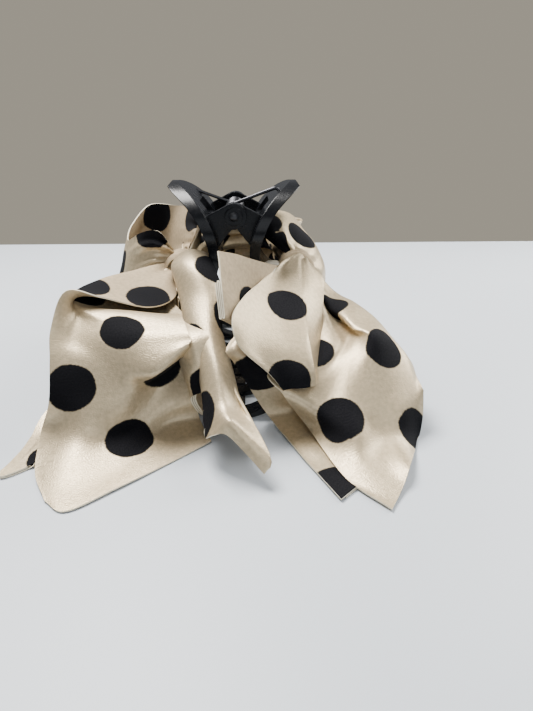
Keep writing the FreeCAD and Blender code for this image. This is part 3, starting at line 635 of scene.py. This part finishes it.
def make_ribbon(name, net):
    """One ribbon in place of its CAD stand-in: its object and the flat cloth it is cut from."""
    plan = PLANS[name]
    seed = plan["seed"]
    count, depth, reach = plan["pleats"]
    folds, fold_depth = plan["folds"]
    grid, rows, columns = smooth_grid(net, *plan["size"])
    grid = ripple(grid, plan["ripple"] * MM, seed)
    grid = crease(grid, folds, fold_depth * MM, seed)
    both_ends = "loop" in name
    grid = pleat(grid, count, depth * MM, reach * MM, both_ends, seed)
    grid, columns, behind = tuck(grid, columns, *plan["tuck"])
    floor = TABLE_GAP + CLOTH_THICK / 2 + behind.max() - behind
    grid[..., 2] = np.maximum(grid[..., 2], floor)
    coarse = flatten(grid[::2, ::2], both_ends)
    flat = catmull(coarse, np.linspace(0, len(coarse) - 1, grid.shape[0])).swapaxes(0, 1)
    flat = catmull(flat, np.linspace(0, len(flat) - 1, grid.shape[1])).swapaxes(0, 1)
    centres = [(grid_place(flat, rows, columns, *dot), grid_place(grid, rows, columns, *dot))
               for dot in plan["dots"]]
    dots = print_dots(flat, grid, centres, both_ends or not centres)
    obj = cloth_mesh(name + "_cloth", grid, flat, dots, CLOTH_THICK)
    side = name.split("_")[0]
    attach(obj, side)
    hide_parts(name)
    # The strip is one width throughout; its ends are cut on the slant, so its runs differ.
    return obj


CLOTH_WIDTH = 45 * MM
CLOTH_THICK = 0.35 * MM
TABLE_GAP = 0.05 * MM
GATHER_REACH = 12 * MM
LAYER_GAP = 0.5 * MM
LEAST_FOLD = 2 * MM
FOLD_SHARE = 0.9
FOLD_STEPS = 13

# How each ribbon is made up. size: grid rows and columns. pleats: how many, how deep and how far
# from the knot they reach, in millimetres. folds: lengthwise folds all along, how many and how
# deep. ripple: soft unevenness. tuck: the edge where the strip's spare width is folded behind,
# in how many layers, and True where they go to its satin side. dots: the dots in sight, by row
# and column of the net.
PLANS = {
    "left_loop_upper": dict(size=(101, 61), pleats=(5, 1.1, 14), folds=(0, 0), ripple=0.3,
                            seed=1, tuck=("first", 0),
                            dots=[(3.6, 0.3), (7.6, 0.0)]),
    "left_loop_lower": dict(size=(121, 61), pleats=(3, 0.5, 14), folds=(4, 1.2), ripple=0.2,
                            seed=2, tuck=("first", 1),
                            dots=[]),
    "left_tail_wide": dict(size=(101, 65), pleats=(4, 0.7, 13), folds=(0, 0), ripple=0.14,
                           seed=3, tuck=("first", 0),
                           dots=[(4.3, 1.7), (6.7, 3.4), (8.5, 1.7), (6.6, 0.85),
                                 (1.7, 3.8), (2.6, 3.2)]),
    "left_tail_rolled": dict(size=(81, 61), pleats=(3, 0.3, 8), folds=(0, 0), ripple=0.08,
                             seed=4, tuck=("first", 1),
                             dots=[(2.2, 0.9), (4.5, 3.95), (6.6, 3.95), (3.8, 0.35)]),
    "left_tail_tucked": dict(size=(61, 51), pleats=(3, 0.3, 9), folds=(0, 0), ripple=0.08,
                             seed=5, tuck=("last", 2),
                             dots=[(4.9, 0.1)]),
    "left_tail_back": dict(size=(71, 41), pleats=(3, 0.4, 12), folds=(0, 0), ripple=0.12,
                           seed=6, tuck=("first", 1),
                           dots=[]),
    "right_loop_upper": dict(size=(101, 61), pleats=(3, 0.5, 11), folds=(0, 0), ripple=0.3,
                             seed=7, tuck=("first", 2),
                             dots=[(1.7, 2.5), (1.5, 0.1), (0.3, 0.0)]),
    "right_loop_lower": dict(size=(121, 61), pleats=(3, 0.5, 14), folds=(4, 1.2), ripple=0.2,
                             seed=8, tuck=("first", 1),
                             dots=[]),
    "right_tail_front": dict(size=(71, 61), pleats=(3, 0.5, 9), folds=(0, 0), ripple=0.1,
                             seed=9, tuck=("first", 1),
                             dots=[(3.2, 2.7), (6.6, 3.9)]),
    "right_tail_inner": dict(size=(51, 31), pleats=(2, 0.3, 8), folds=(0, 0), ripple=0.08,
                             seed=10, tuck=("last", 3, True),
                             dots=[(2.3, 2.4)]),
    "right_tail_wide": dict(size=(91, 61), pleats=(3, 0.6, 12), folds=(0, 0), ripple=0.14,
                            seed=11, tuck=("first", 1),
                            dots=[(5.6, 3.9), (4.6, 1.7), (7.6, 1.9), (2.7, 4.8), (1.3, 1.9)]),
    "right_tail_under": dict(size=(81, 41), pleats=(3, 0.4, 12), folds=(0, 0), ripple=0.1,
                             seed=12, tuck=("first", 1),
                             dots=[(4.2, 4.2), (6.7, 4.1)]),
}


# ---------------------------------------------------------------- knots, thread and glue

KNOT_RADIUS = 5.2
KNOT_REACH = 4.4
KNOT_CENTRE = {"left": (-17.0, -2, 32), "right": (19.0, -2, 32)}
PRINT_RADIUS = 5.3
PRINT_REACH = 4.5
GLUE_SQUARENESS = 0.7
GLUE_SWELL = 0.3 * MM


def make_knot(side):
    """The band wound round the gathers: a short barrel with folds running round it."""
    centre = np.array(at(*KNOT_CENTRE[side]))
    turns = np.linspace(0, 2 * math.pi, 61)
    across = np.linspace(-1, 1, 25)
    theta, s = np.meshgrid(turns, across, indexing="ij")
    edge = np.clip((np.abs(s) - 0.8) / 0.2, 0, 1)
    folds = np.cos(3.2 * math.pi * s + 0.5 * np.sin(theta))
    radius = KNOT_RADIUS + 0.28 * folds - 0.7 * edge ** 2
    radius += 0.12 * np.sin(2 * theta + 1.0) * (1 - s ** 2)
    width = KNOT_REACH + 0.25 * np.sin(theta * 2 + 0.6)
    lean = 0.3 * np.sin(theta + 1.0)
    points = np.stack([radius * np.sin(theta), s * width + lean, radius * np.cos(theta)], axis=-1)
    grid = centre + points * MM
    flat = np.stack([s * PRINT_REACH, theta * PRINT_RADIUS], axis=-1) * MM
    dots = print_dots(flat, grid, [(flat[30, 0], grid[30, 0])], False)
    obj = cloth_mesh(side + "_knot_cloth", grid, flat, dots, CLOTH_THICK)
    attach(obj, side)
    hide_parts(side + "_knot_wrap")
    return obj


def make_glue(side):
    """A pad of hot-melt squeezed between the jaw and the knot."""
    low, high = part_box(side + "_glue_pad")
    centre, half = (low + high) / 2, (high - low) / 2
    bpy.ops.mesh.primitive_uv_sphere_add(segments=32, ring_count=20)
    obj = bpy.context.object
    obj.name = side + "_glue_blob"
    for vertex in obj.data.vertices:
        p = vertex.co
        shaped = [math.copysign(abs(c) ** GLUE_SQUARENESS, c) for c in p]
        vertex.co = centre + Vector([c * h for c, h in zip(shaped, half)])
        vertex.co.y += GLUE_SWELL * math.sin(9 * p.z + 4 * p.x)
    for polygon in obj.data.polygons:
        polygon.use_smooth = True
    obj.data.materials.append(GLUE)
    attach(obj, side)
    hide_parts(side + "_glue_pad")
    return obj


# ---------------------------------------------------------------- spring

def sweep(name, path, radius, sides=12):
    """A round wire along a path, with flat ends."""
    path = np.asarray(path, float)
    tangent = np.gradient(path, axis=0)
    tangent /= np.linalg.norm(tangent, axis=1, keepdims=True)
    normal = np.cross(tangent[0], [0.3, 1.0, 0.2])
    points, faces = [], []
    for i, (centre, along) in enumerate(zip(path, tangent)):
        normal = normal - along * (normal @ along)
        normal /= np.linalg.norm(normal)
        side = np.cross(along, normal)
        for k in range(sides):
            turn = 2 * math.pi * k / sides
            points.append(centre + radius * (normal * math.cos(turn) + side * math.sin(turn)))
    for i in range(len(path) - 1):
        for k in range(sides):
            a, b = i * sides + k, i * sides + (k + 1) % sides
            faces.append((a, b, b + sides, a + sides))
    faces.append(tuple(range(sides - 1, -1, -1)))
    faces.append(tuple(range((len(path) - 1) * sides, len(path) * sides)))
    obj = add_mesh(name, points, faces)
    obj.data.polygons.foreach_set("use_smooth", [True] * len(faces))
    obj.data.set_sharp_from_angle(angle=math.radians(50))
    return obj


PIN_HEIGHT = 50
COIL_RADIUS = 2.4
COIL_PITCH = 1.5
COIL_TURNS = 10
LEG_LENGTH = 13.2
LEG_SLOPE = math.radians(20)
HOOK_RADIUS = 1.1
WIRE_RADIUS = 0.5


def make_spring():
    """The torsion spring: a coil round the pin, one leg up to each tab."""
    slope, radius, pitch = LEG_SLOPE, COIL_RADIUS, COIL_PITCH
    turns = COIL_TURNS - slope / math.pi
    half = pitch * turns / 2
    steps = np.linspace(0, 1, 400)
    angle = math.radians(270) - slope + steps * turns * 2 * math.pi
    coil = np.stack([radius * np.cos(angle), 2 * half * steps - half, -radius * np.sin(angle)], axis=-1)
    reach = np.linspace(0, LEG_LENGTH, 12)[1:, None]
    bend = np.linspace(0, 1, 5)[1:, None]
    legs = []
    for end, sign in ((coil[0], 1), (coil[-1], -1)):
        along = np.array([sign * math.cos(slope), 0, math.sin(slope)])
        towards = np.array([sign * math.sin(slope), 0, -math.cos(slope)])
        elbow = end + along * LEG_LENGTH
        quarter = bend * math.pi / 2
        hook = elbow + along * np.sin(quarter) * HOOK_RADIUS
        hook = hook + towards * (1 - np.cos(quarter)) * HOOK_RADIUS
        legs.append(np.concatenate([end + along * reach, hook]))
    path = np.concatenate([legs[0][::-1], coil, legs[1]])
    obj = sweep("torsion_spring_wire", np.array(at(0, 0, PIN_HEIGHT)) + path * MM, WIRE_RADIUS * MM)
    obj.data.materials.append(WIRE)
    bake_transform(obj)
    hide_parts("torsion_spring")
    return obj


# ---------------------------------------------------------------- assembly

for name, net in NETS.items():
    make_ribbon(name, net)
for side in KNOT_CENTRE:
    make_knot(side)
    make_glue(side)
make_spring()

FINISHES = {"left_jaw": PLASTIC, "right_jaw": PLASTIC, "hinge_pin": PIN_METAL,
            "left_gather_thread": THREAD, "right_gather_thread": THREAD}
for name, finish in FINISHES.items():
    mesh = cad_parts[name].data
    mesh.materials.clear()
    mesh.materials.append(finish)
    for polygon in mesh.polygons:
        polygon.use_smooth = True
    mesh.set_sharp_from_angle(angle=math.radians(35))


# ---------------------------------------------------------------- table, camera and light

LENS = 27.04
CAMERA_PLACE = (4.1, -168.2, 74.0)
CAMERA_DIP = 23.5
CAMERA_TURN = -1.9
TABLE_REACH = 2.0
TABLE_BEYOND_CLIP = 0.192
SURROUND_STRENGTH = 0.26


def make_table():
    """A pale painted table top, ending behind the clip."""
    near, side = -TABLE_REACH, TABLE_REACH
    far = TABLE_BEYOND_CLIP + CLIP[1]
    points = [(-side, near, 0), (side, near, 0), (side, far, 0), (-side, far, 0)]
    table = add_mesh("table", points, [(0, 1, 2, 3)])
    material, shader = new_material("pale_table")
    position = add_node(material, "ShaderNodeNewGeometry").outputs["Position"]
    tone = noise(material, position, 14.0)
    colour = mix_colour(material, tone, (0.56, 0.60, 0.65, 1.0), (0.60, 0.64, 0.68, 1.0))
    link(material, colour, shader.inputs["Base Color"])
    shader.inputs["Roughness"].default_value = 0.45
    table.data.materials.append(material)


def make_camera():
    """Seen from in front of the tails, 23.5 degrees down and a little to the right."""
    data = bpy.data.cameras.new("camera")
    data.lens = LENS
    data.clip_start = 0.005
    camera = bpy.data.objects.new("camera", data)
    camera.location = at(*CAMERA_PLACE)
    camera.rotation_euler = (math.radians(90 - CAMERA_DIP), 0, math.radians(CAMERA_TURN))
    bpy.context.scene.collection.objects.link(camera)
    bpy.context.scene.camera = camera


def add_area(name, place, target, size, power, colour):
    data = bpy.data.lights.new(name, "AREA")
    data.shape = "RECTANGLE"
    data.size, data.size_y = size
    data.energy = power
    data.color = colour
    lamp = bpy.data.objects.new(name, data)
    lamp.location = at(*place)
    lamp.rotation_euler = (Vector(at(*target)) - lamp.location).to_track_quat("-Z", "Y").to_euler()
    bpy.context.scene.collection.objects.link(lamp)


def make_world():
    """A dim warm surround; the camera sees it as a beige wall."""
    world = bpy.data.worlds.new("studio")
    bpy.context.scene.world = world
    world.use_nodes = True
    tree = world.node_tree
    lit = tree.nodes["Background"]
    lit.inputs["Color"].default_value = (0.80, 0.82, 0.86, 1.0)
    lit.inputs["Strength"].default_value = SURROUND_STRENGTH
    seen = tree.nodes.new("ShaderNodeBackground")
    seen.inputs["Color"].default_value = (0.36, 0.33, 0.27, 1.0)
    seen.inputs["Strength"].default_value = 1.0
    path = tree.nodes.new("ShaderNodeLightPath")
    mix = tree.nodes.new("ShaderNodeMixShader")
    tree.links.new(path.outputs["Is Camera Ray"], mix.inputs["Fac"])
    tree.links.new(lit.outputs["Background"], mix.inputs[1])
    tree.links.new(seen.outputs["Background"], mix.inputs[2])
    tree.links.new(mix.outputs["Shader"], tree.nodes["World Output"].inputs["Surface"])


make_table()
make_camera()
make_world()
add_area("overhead", (-120, 120, 420), (0, -10, 20), (0.22, 0.22), 6.0, (1.0, 0.98, 0.95))
add_area("side_key", (260, 120, 200), (0, -20, 20), (0.12, 0.30), 1.6, (1.0, 0.99, 0.96))
add_area("front_fill", (120, -380, 260), (0, -20, 20), (0.40, 0.30), 0.7, (0.92, 0.96, 1.0))
